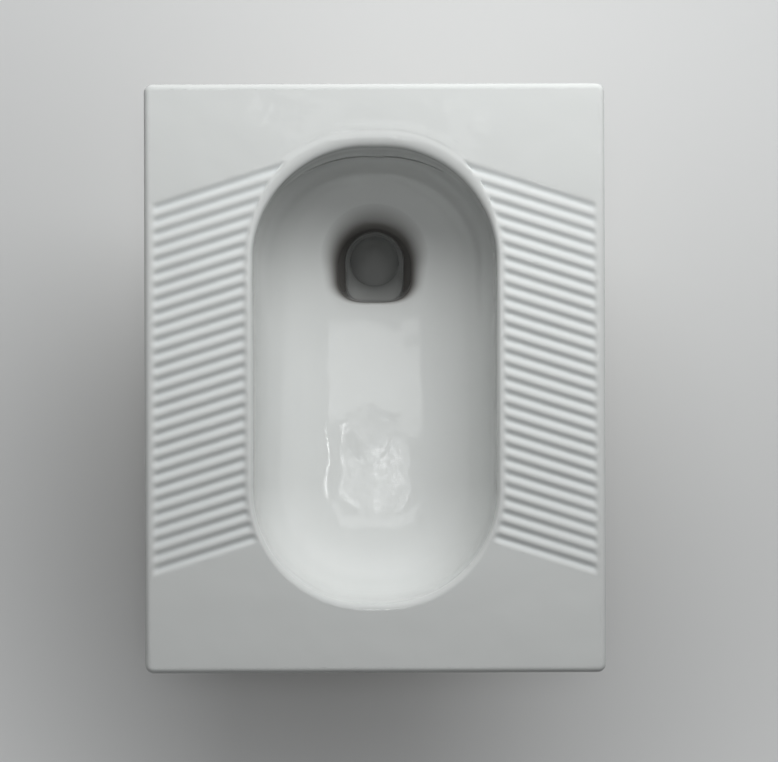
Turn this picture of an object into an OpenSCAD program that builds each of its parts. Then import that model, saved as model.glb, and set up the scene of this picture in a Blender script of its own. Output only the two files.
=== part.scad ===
// Squat toilet pan of glazed vitreous china, with a built-in water trap.
//
// The pot is thrown together from separate castings that are luted with slip before the one firing:
// deck, bowl, flush box, inlet horn, throat, bend, weir and outlet. Each casting is a solid of its own
// and meets the next one on a flat ring or face. Two rubber seals finish it.
//
// Frame: millimetres, +Z up. The origin is on the surface that the pan stands on, under the middle of
// the deck. +Y points to the inlet end, where the flush water comes in, and X runs across the pan.
// Depths are measured down from the top of the deck.

/* [Deck] */
// Height of the whole pan, from its base to the top of the deck
pan_h = 290; // [286:1:320]
// Length of the deck along Y
deck_l = 550; // [545:5:600]
// Width of the deck along X
deck_w = 430; // [420:5:480]
// Thickness of the deck slab
deck_t = 12; // [9:0.5:14]
// Corner radius of the deck in plan
deck_corner_r = 8; // [6.5:0.5:20]
// Radius that rolls the deck's outer edge over
edge_roll_r = 6; // [4:0.5:7.5]
// Depth of the skirt's lower edge
skirt_depth = 40; // [32:1:41]
// Thickness of the skirt
skirt_t = 10; // [8:0.5:11]
// Radius of the skirt's inner corners
skirt_in_r = 6; // [3:1:12]
// Stiffening webs under each side of the deck
web_count = 3; // [1:1:4]
// Thickness of a stiffening web
web_t = 8; // [6:0.5:12]
// Height of the webs' outer ends above the skirt's lower edge
web_clear = 4; // [2:0.5:10]

/* [Opening] */
// Flat deck between each end of the deck and the opening, before the opening is shifted
end_land = 62; // [60:0.5:66]
// Width of the bowl opening along X
opening_w = 228; // [216:2:240]
// Radius of the opening's corners, which makes its ends nearly round
opening_r = 106; // [98:1:106]
// How far the opening's centre lies towards the inlet end
opening_shift = 3; // [0:0.5:5]
// Radius that rolls the rim over into the bowl
rim_roll_r = 6; // [4:0.5:9]
// Depth of the collar that hangs from the deck round the opening
collar_depth = 22; // [18:1:28]
// Thickness of the collar
collar_t = 12; // [10.5:0.5:14]

/* [Foot treads] */
// Grooves in each foot tread
groove_count = 28; // [20:1:30]
// Distance from groove to groove along Y
groove_pitch = 12.45; // [10:0.05:12.6]
// Angle of the grooves to the X axis
groove_angle = 17.7; // [8:0.1:22]
// Depth of a groove
groove_depth = 2.4; // [1.5:0.1:3]
// Radius of the groove's rounded floor
groove_r = 6.4; // [4:0.1:7]
// Distance from the groove tips to the deck's outer edge
tread_edge_gap = 9; // [8:0.5:20]
// Distance from the groove tips to the bowl opening
tread_rim_gap = 5; // [4:0.5:12]
// Y of the first groove's outer tip, at the foot end of the tread
tread_start_y = -176.5; // [-182:0.5:-160]

/* [Bowl] */
// Wall thickness of the bowl
bowl_wall = 10; // [8:0.5:12]
// Depth of the bowl's floor at the waste hole, in per cent of the pan's height
bowl_share = 36.5; // [34:0.5:37]
// Fall of the bowl's floor from the foot end to the waste hole
floor_fall = 20; // [14:1:26]
// Plan distance over which the wall curves into the floor
bowl_sweep = 95; // [70:1:97]
// Squareness of that curve: 2 is an ellipse, more is squarer
bowl_power = 2.8; // [2.2:0.1:3.6]

/* [Waste hole] */
// Width of the waste hole
hole_w = 86; // [76:1:92]
// Length of the waste hole
hole_l = 99; // [90:1:102]
// Distance from the opening's inlet end to the hole
hole_rim_gap = 41; // [38:1:46]
// Squareness of the hole's straight side
hole_power = 3.2; // [2:0.1:4]
// Radius that eases the hole's edge
hole_ease = 8; // [3:0.5:10]
// Length of the throat that is cast with the bowl, below the floor
throat_l = 32; // [28:1:42]

/* [Flush box] */
// Depth of the top of the slot that lets the flush water into the bowl
slot_depth = 45; // [40:1:52]
// Height of the slot
slot_h = 13; // [8:0.5:18]
// Width of the slot
slot_w = 136; // [80:2:144]
// Width of the flush box
box_w = 164; // [158:2:180]
// Depth of the flush box's floor
box_depth = 118; // [117:1:122]
// Wall thickness of the flush box
box_wall = 8; // [6:0.5:9]
// Radius of the flush box's upright corners
box_corner_r = 24; // [12:1:36]
// Radius of the flush box's lower edges
box_edge_r = 12; // [9.5:0.5:12.5]
// Distance from the opening's inlet end to the back of the flush box
box_reach = 28; // [27:0.5:30]

/* [Inlet] */
// Bore of the inlet horn
horn_bore_d = 46; // [42:1:47]
// Wall thickness of the inlet horn
horn_wall = 8; // [6:0.5:8.5]
// Depth of the inlet's axis
inlet_depth = 74; // [68:0.5:75]
// Length of the inlet horn
horn_l = 17; // [12:1:17]
// Bore of the rubber inlet seal, which takes the flush pipe
flush_pipe_d = 32; // [25:1:40]
// Thickness of the inlet seal's flange
seal_flange_t = 3; // [2:0.5:4]
// Length of the inlet seal inside the horn
seal_plug_l = 20; // [14:1:24]

/* [Trap] */
// Bore of the water trap
trap_bore_d = 52; // [45:1:54]
// Wall thickness of the trap
trap_wall = 8; // [6:0.5:9]
// Height of the weir's bend above the other bend
weir_rise = 12.5; // [12:0.5:14]
// Height of the foot pad under the bend
foot_h = 2; // [2:0.5:6]
// Radial step of the collars where the trap castings are luted
lute_step = 3; // [2:0.5:5]
// Height of a luting collar
lute_h = 6; // [4:0.5:6]
// Gap between the bowl's underside and the weir
weir_gap = 3; // [2:0.5:3.5]
// Length of the web between the bowl's underside and the weir
crown_web_l = 70; // [40:2:100]

/* [Outlet] */
// Outside diameter of the outlet spigot
spigot_d = 88; // [84:1:92]
// Wall thickness of the outlet spigot
spigot_wall = 8; // [6:0.5:9]
// Height of the straight part of the spigot
spigot_h = 46; // [42:1:50]
// Outside diameter of the rubber outlet seal, which is the bore of the drain pipe
drain_pipe_d = 104; // [100:0.5:110]
// Height of the outlet seal
outlet_seal_h = 24; // [16:1:28]
// Distance from the spigot's end to the outlet seal
outlet_seal_z = 12; // [8:1:14]

/* [Hidden] */
// Clearance between curved faces that are luted or pushed together
slip = 0.3;
// Segments of each corner of the bowl
corner_steps = 10;
// Steps down the curve of the bowl's wall
wall_steps = 11;
// Points round the throat
throat_points = 40;
$fn = 64;

cast_white = [0.93, 0.94, 0.93];
bare_clay = [0.86, 0.83, 0.77];
seal_black = [0.10, 0.10, 0.11];

// Opening, and the centres of its corner arcs from its own centre
opening_l = deck_l - 2 * end_land;
corner_x = opening_w / 2 - opening_r;
corner_y = opening_l / 2 - opening_r;

// Depths of the bowl
floor_depth_hole = pan_h * bowl_share / 100;
floor_depth_shallow = floor_depth_hole - floor_fall;
throat_depth = floor_depth_hole + throat_l;

// Waste hole, with the trap bore under its middle
opening_end_y = opening_shift + opening_l / 2;
hole_y = opening_end_y - hole_rim_gap - hole_l / 2;
hole_foot_y = hole_y - hole_l / 2;
trap_r = trap_bore_d / 2;
tube_r = trap_r + trap_wall;
trap_in_y = hole_y;

// Radius of the trap's bends, to the middle of the bore: whole millimetres, and as large as the
// space between the pan's base and the bowl's sloping underside allows
bend_space = pan_h - foot_h - 2 * tube_r - weir_rise - weir_gap - bowl_wall - floor_depth(trap_in_y);
bend_r = floor(bend_space / 2 / (1 - floor_slope()));

// Trap
trap_up_y = trap_in_y - 2 * bend_r;
outlet_y = trap_up_y - 2 * bend_r;
bend_z = foot_h + tube_r + bend_r;
bend_seam_z = bend_z + lute_h;
weir_y = (trap_up_y + outlet_y) / 2;
weir_z = bend_z + weir_rise;
outlet_seam_z = weir_z - lute_h;

// Flush box and inlet
box_back_y = opening_end_y + box_reach;
inlet_z = pan_h - inlet_depth;
horn_bore_r = horn_bore_d / 2;
horn_r = horn_bore_r + horn_wall;
horn_end_y = box_back_y + horn_l;

// Outlet
spigot_r = spigot_d / 2;
spigot_flare = 20;
spigot_top_z = spigot_h + spigot_flare;

// Water held in the trap, from the weir's crest down to the dip of the bend
water_seal = (weir_z + bend_r - trap_r) - (bend_z - bend_r + trap_r);
echo(water_seal = water_seal);

// ---------------------------------------------------------------- curves

// Depth of the bowl's floor, which falls evenly to the waste hole
function floor_slope() = floor_fall / (hole_foot_y - opening_shift + opening_l / 2);
function floor_depth(y) = floor_depth_hole + floor_slope() * (y - hole_foot_y);

// Points of the opening's outline, moved inward by inset, as [x, y]
function outline(inset) =
    [for (quarter = [0 : 3], i = [0 : corner_steps])
        let (a = 90 * (quarter + i / corner_steps),
             x = (quarter == 0 || quarter == 3 ? 1 : -1) * corner_x,
             y = (quarter < 2 ? 1 : -1) * corner_y)
        [x + (opening_r - inset) * cos(a), opening_shift + y + (opening_r - inset) * sin(a)]];

// One ring of the bowl: angle 0 is the rim and 90 the floor. grow is the wall's thickness outside
function bowl_ring(a, grow) =
    let (run = bowl_sweep + grow,
         inset = -grow + run * (1 - pow(cos(a), 2 / bowl_power)),
         fall = pow(sin(a), 2 / bowl_power))
    [for (p = outline(inset))
        [p[0], p[1], pan_h - collar_depth - fall * (floor_depth(p[1]) + grow - collar_depth)]];

// Outline of the waste hole: round towards the inlet end, squarer towards the foot end
function hole_outline(grow) =
    [for (i = [0 : throat_points - 1])
        let (a = 360 * i / throat_points,
             n = 2 / (sin(a) < -0.001 ? hole_power : 2),
             c = cos(a), s = sin(a))
        [(hole_w / 2 + grow) * sign(c) * pow(abs(c), n),
         hole_y + (hole_l / 2 + grow) * sign(s) * pow(abs(s), n)]];

// Ring of the throat at a depth, which turns from the hole's outline into the round bore
function throat_ring(depth, grow) =
    let (top = floor_depth_hole,
         low = pan_h - bend_seam_z,
         u = min(1, max(0, (depth - top) / (low - top))),
         mix = u * u * (3 - 2 * u),
         hole = hole_outline(grow))
    [for (i = [0 : throat_points - 1])
        let (a = 360 * i / throat_points)
        [(1 - mix) * hole[i][0] + mix * (trap_r + grow) * cos(a),
         (1 - mix) * hole[i][1] + mix * (trap_in_y + (trap_r + grow) * sin(a)),
         pan_h - depth]];

// Half of a groove's width at the deck's surface, and the x of its outer tip
groove_half_w = sqrt(pow(groove_r, 2) - pow(groove_r - groove_depth, 2));
tip_x = deck_w / 2 - tread_edge_gap - groove_half_w;

// Where a groove meets the rim: distance along it from its outer tip at y = tip_y.
// It ends at a parallel of the opening's straight side or corner
function groove_length(tip_y) =
    let (gap = tread_rim_gap + groove_half_w,
         side = (tip_x - opening_w / 2 - gap) / cos(groove_angle),
         side_y = tip_y + side * sin(groove_angle) - opening_shift,
         dx = tip_x - corner_x,
         dy = tip_y - opening_shift - sign(side_y) * corner_y,
         b = dy * sin(groove_angle) - dx * cos(groove_angle))
    abs(side_y) <= corner_y ? side : -b - sqrt(b * b - dx * dx - dy * dy + pow(opening_r + gap, 2));

// ---------------------------------------------------------------- shared shapes

// Closed solid through rings of points, from the top ring down. Each ring runs anticlockwise
module skin(rings) {
    n = len(rings[0]);
    last = len(rings) - 1;
    polyhedron(
        points = [for (ring = rings) for (p = ring) p],
        faces = concat(
            [[for (i = [n - 1 : -1 : 0]) i]],
            [for (k = [0 : last - 1], i = [0 : n - 1])
                let (j = (i + 1) % n)
                each [[k * n + i, k * n + j, (k + 1) * n + j],
                      [k * n + i, (k + 1) * n + j, (k + 1) * n + i]]],
            [[for (i = [0 : n - 1]) last * n + i]]),
        convexity = 6);
}

// A profile carried round a rectangle of length l and width w with corners of radius r.
// The profile's x is the distance out from the rectangle's outline, and its y is the height
module round_rectangle(l, w, r) {
    for (turn = [0 : 3]) {
        x = (turn % 2 == 0 ? w : l) / 2 - r;
        y = (turn % 2 == 0 ? l : w) / 2 - r;
        rotate([0, 0, 90 * turn]) translate([x, y, 0]) {
            rotate_extrude(angle = 90) translate([r, 0]) children();
            translate([r, 0, 0]) rotate([90, 0, 0]) linear_extrude(height = 2 * y) children();
        }
    }
}

module round_opening() {
    translate([0, opening_shift, 0]) round_rectangle(opening_l, opening_w, opening_r) children();
}

// Half a turn of tube in the plane x = 0. flip turns it over
module half_bend(r, flip) {
    rotate([0, flip ? 0 : 180, 0]) rotate([90, 0, 90])
        rotate_extrude(angle = 180) translate([bend_r, 0]) circle(r = r);
}

// ---------------------------------------------------------------- castings

// Block that the deck and skirt are hollowed from, with its top edge rolled over
module deck_block() {
    core = deck_corner_r - 0.5;
    round_rectangle(deck_l, deck_w, deck_corner_r) translate([0, pan_h]) {
        translate([-core, -skirt_depth]) square([core, skirt_depth - edge_roll_r]);
        translate([-core, -skirt_depth]) square([core - edge_roll_r, skirt_depth]);
        translate([-edge_roll_r, -edge_roll_r]) intersection() {
            circle(r = edge_roll_r);
            square(edge_roll_r);
        }
    }
    translate([0, 0, pan_h - skirt_depth]) linear_extrude(height = skirt_depth)
        square([deck_w - 2 * core, deck_l - 2 * core], center = true);
}

// Hollow under the deck, inside the skirt
module under_deck() {
    in_x = deck_w / 2 - skirt_t;
    in_y = deck_l / 2 - skirt_t;
    h = skirt_depth - deck_t + 1;
    translate([0, 0, pan_h - skirt_depth - 1]) {
        for (x = [-1, 1], y = [-1, 1])
            translate([x * (in_x - skirt_in_r), y * (in_y - skirt_in_r), 0]) cylinder(r = skirt_in_r, h = h);
        translate([-in_x, skirt_in_r - in_y, 0]) cube([2 * in_x, 2 * (in_y - skirt_in_r), h]);
        translate([skirt_in_r - in_x, -in_y, 0]) cube([2 * (in_x - skirt_in_r), 2 * in_y, h]);
    }
}

// Collar round the opening: hangs from the deck, with its top corner rolled into the bowl
module collar_profile() {
    translate([0, pan_h - collar_depth]) square([collar_t, collar_depth - rim_roll_r]);
    translate([rim_roll_r, pan_h - collar_depth])
        square([collar_t - rim_roll_r, collar_depth]);
    translate([rim_roll_r, pan_h - rim_roll_r])
        intersection() {
            circle(r = rim_roll_r);
            translate([-rim_roll_r, 0]) square(rim_roll_r);
        }
}

// One groove of a tread, pressed into the deck, with round ends
module groove(tip_y) {
    run = groove_length(tip_y);
    translate([tip_x, tip_y, pan_h + groove_r - groove_depth])
        rotate([0, 0, 180 - groove_angle]) {
            rotate([0, 90, 0]) cylinder(r = groove_r, h = run);
            for (x = [0, run]) translate([x, 0, 0]) sphere(r = groove_r);
        }
}

module treads() {
    for (side = [0, 1]) mirror([side, 0, 0])
        for (i = [0 : groove_count - 1])
            groove(tread_start_y + i * groove_pitch);
}

// Webs under the deck, from the collar to the skirt
module deck_webs() {
    inner = (opening_w + collar_t) / 2;
    outer = deck_w / 2 - skirt_t / 2;
    step = 2 * corner_y / web_count;
    for (side = [0, 1], i = [0 : web_count - 1]) mirror([side, 0, 0])
        translate([0, opening_shift - corner_y + step * (i + 0.5) + web_t / 2, pan_h])
            rotate([90, 0, 0]) linear_extrude(height = web_t)
                polygon([[inner, -deck_t / 2], [inner, -collar_depth],
                         [opening_w / 2 + collar_t, -collar_depth],
                         [outer, web_clear - skirt_depth], [outer, -deck_t / 2]]);
}

module deck() {
    color(cast_white) difference() {
        union() {
            difference() {
                deck_block();
                under_deck();
                translate([0, 0, pan_h - deck_t - 1]) linear_extrude(height = deck_t + 2)
                    polygon(outline(-(rim_roll_r + collar_t) / 2));
            }
            round_opening() collar_profile();
            deck_webs();
        }
        treads();
    }
}

// Outside of the bowl and of its throat, which neighbours are cut back from
module bowl_outside(grow) {
    top = floor_depth_hole - bowl_wall;
    fall = throat_depth - top;
    skin([for (i = [0 : wall_steps]) bowl_ring(90 * i / wall_steps, grow)]);
    skin([for (i = [0 : 4]) throat_ring(top + fall * i / 4, grow)]);
}

// Everything inside the bowl: its hollow, the eased hole and the start of the throat
module bowl_hollow() {
    fall = throat_depth + 8 - floor_depth_hole;
    skin([for (i = [0 : wall_steps]) bowl_ring(90 * i / wall_steps, 0)]);
    skin(concat(
        [for (a = [0 : 18 : 90])
            [for (p = throat_ring(floor_depth_hole, hole_ease * (1 - sin(a))))
                [p[0], p[1], p[2] + hole_ease * (0.5 + cos(a))]]],
        [for (i = [0 : 4]) throat_ring(floor_depth_hole + fall * i / 4, 0)]));
}

// Slot with round ends, through the bowl's wall at the inlet end
module flush_slot() {
    end_x = slot_w / 2 - slot_h / 2;
    translate([0, box_back_y, pan_h - slot_depth - slot_h / 2])
        rotate([90, 0, 0]) linear_extrude(height = box_back_y - hole_y) {
            for (x = [-end_x, end_x]) translate([x, 0]) circle(r = slot_h / 2);
            square([2 * end_x, slot_h], center = true);
        }
}

module bowl() {
    color(cast_white) difference() {
        bowl_outside(bowl_wall);
        bowl_hollow();
        flush_slot();
    }
}

// Rectangle of width w and height h about the origin, with corners of radius r
module rounded(w, h, r) {
    for (x = [-1, 1], y = [-1, 1]) translate([x * (w / 2 - r), y * (h / 2 - r)]) circle(r = r);
    square([w, h - 2 * r], center = true);
    square([w - 2 * r, h], center = true);
}

// Shape of the flush box, or with an inset of its chamber, up to the height top_z
module box_form(inset, top_z) {
    long = box_back_y - hole_y;
    wide = box_w - 2 * inset;
    floor_z = pan_h - box_depth + inset;
    // The outlines across the box run on past its top and past the bowl, so that only the
    // edges of its floor and back are round
    intersection() {
        translate([0, hole_y + long / 2, floor_z]) linear_extrude(height = top_z - floor_z)
            rounded(wide, long - 2 * inset, box_corner_r - inset);
        translate([0, box_back_y, pan_h]) rotate([90, 0, 0]) linear_extrude(height = long)
            rounded(wide, 2 * (pan_h - floor_z), box_edge_r - inset);
        translate([-wide / 2, hole_y, pan_h]) rotate([90, 0, 90]) linear_extrude(height = wide)
            rounded(2 * (long - inset), 2 * (pan_h - floor_z), box_edge_r - inset);
    }
}

module flush_box() {
    reach = opening_r - 1;
    color(bare_clay) difference() {
        box_form(0, pan_h - deck_t);
        box_form(box_wall, pan_h);
        bowl_outside(bowl_wall + slip);
        // The collar, and all that lies inside it
        round_opening() translate([-reach, pan_h - collar_depth - slip])
            square([reach + collar_t + slip, collar_depth]);
        translate([0, box_back_y + 1, inlet_z]) rotate([90, 0, 0])
            cylinder(r = horn_bore_r, h = box_wall + 2);
    }
}

module inlet_horn() {
    color(bare_clay) translate([0, box_back_y, inlet_z]) rotate([-90, 0, 0])
        difference() {
            cylinder(r = horn_r, h = horn_l);
            translate([0, 0, -1]) cylinder(r = horn_bore_r, h = horn_l + 2);
        }
}

module trap_throat() {
    fall = pan_h - bend_seam_z - throat_depth;
    steps = 8;
    color(bare_clay) difference() {
        union() {
            skin([for (i = [0 : steps]) throat_ring(throat_depth + fall * i / steps, trap_wall)]);
            translate([0, trap_in_y, bend_seam_z]) cylinder(r = tube_r + lute_step, h = lute_h);
        }
        skin([for (i = [-1 : steps + 1]) throat_ring(throat_depth + fall * i / steps, 0)]);
    }
}

module trap_bend() {
    color(bare_clay) translate([0, trap_in_y - bend_r, 0]) difference() {
        union() {
            translate([0, 0, bend_z]) half_bend(tube_r, false);
            for (y = [-bend_r, bend_r]) translate([0, y, bend_z])
                cylinder(r = tube_r + lute_step, h = lute_h);
            // Web that ties the two legs together inside the bend
            translate([-trap_wall / 2, -bend_r, bend_z - bend_r])
                cube([trap_wall, 2 * bend_r, bend_r]);
            // Foot pad
            for (y = [-trap_r, trap_r]) translate([0, y, 0]) cylinder(r = trap_r, h = tube_r);
            translate([-trap_r, -trap_r, 0]) cube([2 * trap_r, 2 * trap_r, tube_r]);
        }
        translate([0, 0, bend_z]) half_bend(trap_r, false);
        for (y = [-bend_r, bend_r]) translate([0, y, bend_z]) cylinder(r = trap_r, h = lute_h + 1);
    }
}

// Web from the weir's crown up to the bowl's underside, which slopes
module crown_web() {
    half = crown_web_l / 2;
    top = [for (y = [-half, half]) pan_h - floor_depth(weir_y + y) - bowl_wall - weir_z];
    translate([-trap_wall / 2, 0, 0]) rotate([90, 0, 90]) linear_extrude(height = trap_wall)
        polygon([[-half, bend_r], [half, bend_r], [half, top[1]], [-half, top[0]]]);
}

module trap_weir() {
    leg = weir_z - bend_seam_z;
    color(bare_clay) translate([0, weir_y, weir_z]) difference() {
        union() {
            half_bend(tube_r, true);
            crown_web();
            translate([0, bend_r, -leg]) cylinder(r = tube_r, h = leg);
            translate([0, bend_r, -leg]) cylinder(r = tube_r + lute_step, h = lute_h);
            translate([0, -bend_r, -lute_h]) cylinder(r = tube_r + lute_step, h = lute_h);
        }
        half_bend(trap_r, true);
        translate([0, bend_r, -leg - 1]) cylinder(r = trap_r, h = leg + 1);
        translate([0, -bend_r, -lute_h - 1]) cylinder(r = trap_r, h = lute_h + 1);
    }
}

module outlet_spigot() {
    inner_r = spigot_r - spigot_wall;
    lute_r = tube_r + lute_step;
    lute_z = outlet_seam_z - lute_h;
    color(bare_clay) translate([0, outlet_y, 0]) rotate_extrude()
        polygon([[inner_r, 0], [spigot_r, 0], [spigot_r, spigot_h], [tube_r, spigot_top_z],
                 [tube_r, lute_z], [lute_r, lute_z], [lute_r, outlet_seam_z],
                 [trap_r, outlet_seam_z], [trap_r, spigot_top_z], [inner_r, spigot_h]]);
}

// ---------------------------------------------------------------- seals

module inlet_seal() {
    color(seal_black) translate([0, horn_end_y, inlet_z]) rotate([90, 0, 0]) difference() {
        union() {
            cylinder(r = horn_bore_r - slip / 2, h = seal_plug_l);
            translate([0, 0, -seal_flange_t]) cylinder(r = horn_r, h = seal_flange_t);
        }
        translate([0, 0, -seal_flange_t - 1])
            cylinder(r = flush_pipe_d / 2, h = seal_flange_t + seal_plug_l + 2);
    }
}

module outlet_seal() {
    color(seal_black) translate([0, outlet_y, outlet_seal_z]) difference() {
        cylinder(r = drain_pipe_d / 2, h = outlet_seal_h);
        translate([0, 0, -1]) cylinder(r = spigot_r + slip / 2, h = outlet_seal_h + 2);
    }
}

deck();
bowl();
flush_box();
inlet_horn();
trap_throat();
trap_bend();
trap_weir();
outlet_spigot();
inlet_seal();
outlet_seal();
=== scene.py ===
"""Looks of a glazed squat toilet pan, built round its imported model. All lengths are in metres."""

import math
from collections import namedtuple

import bmesh
import bpy
from bpy.props import FloatProperty, FloatVectorProperty, IntProperty, PointerProperty
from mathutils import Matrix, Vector


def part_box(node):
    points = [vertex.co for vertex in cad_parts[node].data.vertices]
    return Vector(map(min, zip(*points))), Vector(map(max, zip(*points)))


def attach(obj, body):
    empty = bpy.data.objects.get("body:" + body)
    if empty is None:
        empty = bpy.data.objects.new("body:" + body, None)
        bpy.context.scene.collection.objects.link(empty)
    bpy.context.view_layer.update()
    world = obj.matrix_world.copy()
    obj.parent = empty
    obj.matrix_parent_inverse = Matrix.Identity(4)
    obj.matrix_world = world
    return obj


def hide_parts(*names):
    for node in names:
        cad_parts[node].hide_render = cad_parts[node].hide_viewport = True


bl_info = {
    "name": "Squat toilet pan",
    "version": (1, 0, 0),
    "blender": (4, 5, 0),
    "location": "3D View > Sidebar > Squat pan",
    "description": "Builds the glazed castings, seals and stage of a squat toilet pan",
    "category": "Object",
}

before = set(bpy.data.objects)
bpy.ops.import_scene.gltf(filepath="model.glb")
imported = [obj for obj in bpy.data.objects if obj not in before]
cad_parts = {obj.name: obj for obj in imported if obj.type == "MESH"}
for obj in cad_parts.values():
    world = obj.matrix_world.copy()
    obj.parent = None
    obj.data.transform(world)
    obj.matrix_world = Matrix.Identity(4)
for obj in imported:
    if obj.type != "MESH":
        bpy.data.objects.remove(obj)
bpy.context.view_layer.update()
DECK_LOW, DECK_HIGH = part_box("deck")
BOWL_LOW, BOWL_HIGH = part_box("bowl")
THROAT_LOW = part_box("trap_throat")[0]
WEIR_LOW, WEIR_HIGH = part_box("trap_weir")
SPIGOT_LOW, SPIGOT_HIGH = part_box("outlet_spigot")
HORN_LOW, HORN_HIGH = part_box("inlet_horn")
INLET_SEAL_LOW, INLET_SEAL_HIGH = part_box("inlet_seal")
OUTLET_SEAL_LOW, OUTLET_SEAL_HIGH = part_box("outlet_seal")

TOP_Z = DECK_HIGH.z
RIM_SEAM_Z = BOWL_HIGH.z
THROAT_SEAM_Z = BOWL_LOW.z
BEND_SEAM_Z = THROAT_LOW.z
OUTLET_SEAM_Z = SPIGOT_HIGH.z
COLLAR_DEPTH = TOP_Z - RIM_SEAM_Z
OUTLET_Y = (SPIGOT_LOW.y + SPIGOT_HIGH.y) / 2
WEIR_Y = (WEIR_LOW.y + WEIR_HIGH.y) / 2
BEND_R = WEIR_Y - OUTLET_Y
BORE_Y = WEIR_Y + 3 * BEND_R
INSIDE, OUTSIDE = 0, 1
Ray = namedtuple("Ray", "point out hole_angle")


# ------------------------ sizes and colours


def length(name, description, default):
    return FloatProperty(name=name, description=description, default=default, unit="LENGTH", precision=4)


def ratio(name, description, default):
    return FloatProperty(name=name, description=description, default=default, precision=3)


def angle(name, description, default):
    return FloatProperty(name=name, description=description, default=math.radians(default), unit="ROTATION")


def colour(name, description, default):
    return FloatVectorProperty(
        name=name, description=description, default=default, subtype="COLOR", size=3, min=0, max=1
    )


class DeckSizes(bpy.types.PropertyGroup):
    """Sizes of the deck, its rim and its foot treads"""

    opening_l: length("Opening length", "Length of the bowl opening", 0.426)
    opening_w: length("Opening width", "Width of the bowl opening", 0.228)
    opening_r: length("Opening radius", "Radius of the opening's corners", 0.106)
    opening_shift: length("Opening shift", "How far the opening lies towards the inlet end", 0.003)
    corner_r: length("Corner", "Radius of the deck's corners in plan", 0.008)
    edge_roll: length("Edge roll", "Radius of the deck's rolled outer edge", 0.006)
    rim_drop: length("Rim roll, height", "Height over which the rim rolls down into the bowl", 0.0055)
    side_roll: length("Rim roll, sides", "Reach of the rim's roll beside the foot treads", 0.0042)
    inlet_roll: length("Rim roll, inlet end", "Reach of the rim's roll at the inlet end", 0.0140)
    foot_roll: length("Rim roll, foot end", "Reach of the rim's roll at the foot end", 0.0060)
    swell: length("Rim swell", "Height of the swell round the rim at the inlet end", 0.0003)
    slab_t: length("Thickness", "Thickness of the deck slab", 0.012)
    skirt_t: length("Skirt thickness", "Thickness of the skirt", 0.010)
    skirt_in_r: length("Skirt corner", "Radius of the skirt's inner corners", 0.006)
    skirt_round: length("Skirt foot", "Radius that rounds the skirt's lower edge", 0.003)
    collar_t: length("Collar thickness", "Thickness of the collar round the opening", 0.012)
    fillet: length("Fillet", "Radius of the fillets under the deck", 0.004)
    web_t: length("Web thickness", "Thickness of a web under the deck", 0.008)
    web_count: IntProperty(name="Webs", description="Webs under each side of the deck", default=3)
    groove_count: IntProperty(name="Grooves", description="Grooves in each foot tread", default=28)
    groove_pitch: length("Groove pitch", "Distance from groove to groove", 0.01245)
    groove_angle: angle("Groove angle", "Angle of the grooves", 17.7)
    groove_depth: length("Groove depth", "Depth of a groove", 0.0019)
    tip_x: length("Groove tip", "Distance from the middle to the grooves' outer tips", 0.201)
    first_y: length("First groove", "Place of the first groove's outer tip", -0.1765)
    tread_edge: length("Tread edge", "Distance from the middle to where a tread ends", 0.2085)
    tread_gap: length("Tread gap", "Distance from the opening to where a tread ends", 0.0040)
    groove_fade: length("Groove fade", "Length over which a groove's ends rise to the deck", 0.0065)


class BowlSizes(bpy.types.PropertyGroup):
    """Sizes of the bowl, its waste hole and its flush slot"""

    wall: length("Wall", "Thickness of the bowl's wall", 0.010)
    floor_depth: length("Floor depth", "Depth of the bowl's floor at the waste hole", 0.10585)
    floor_fall: length("Floor fall", "Fall of the floor from the foot end to the waste hole", 0.020)
    sweep: length("Sweep", "Plan distance over which the wall curves into the floor", 0.095)
    power: ratio("Squareness", "Squareness of the wall's curve", 2.8)
    hole_w: length("Hole width", "Width of the waste hole below its eased edge", 0.079)
    hole_l: length("Hole length", "Length of the waste hole below its eased edge", 0.077)
    hole_y: length("Hole place", "Place of the waste hole's middle", 0.1155)
    hole_power: ratio("Hole squareness", "Squareness of the hole's foot end", 3.2)
    ease: length("Hole ease", "Reach of the eased edge at the hole's sides", 0.0125)
    ease_tilt: length("Ease tilt", "How much further that edge reaches at the inlet end", 0.0085)
    slot_depth: length("Slot depth", "Depth of the top of the flush slot", 0.045)
    slot_h: length("Slot height", "Height of the flush slot", 0.011)
    slot_w: length("Slot width", "Width of the flush slot", 0.138)
    slot_rise: length("Slot rise", "How far the slot rises towards its ends", 0.014)
    lip_reach: length("Lip reach", "How far the lip over the slot stands off the wall", 0.0018)
    lip_w: length("Lip width", "Width over which the lip has its full reach", 0.148)
    lip_fade: length("Lip fade", "Length over which the lip runs out at its ends", 0.018)


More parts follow.
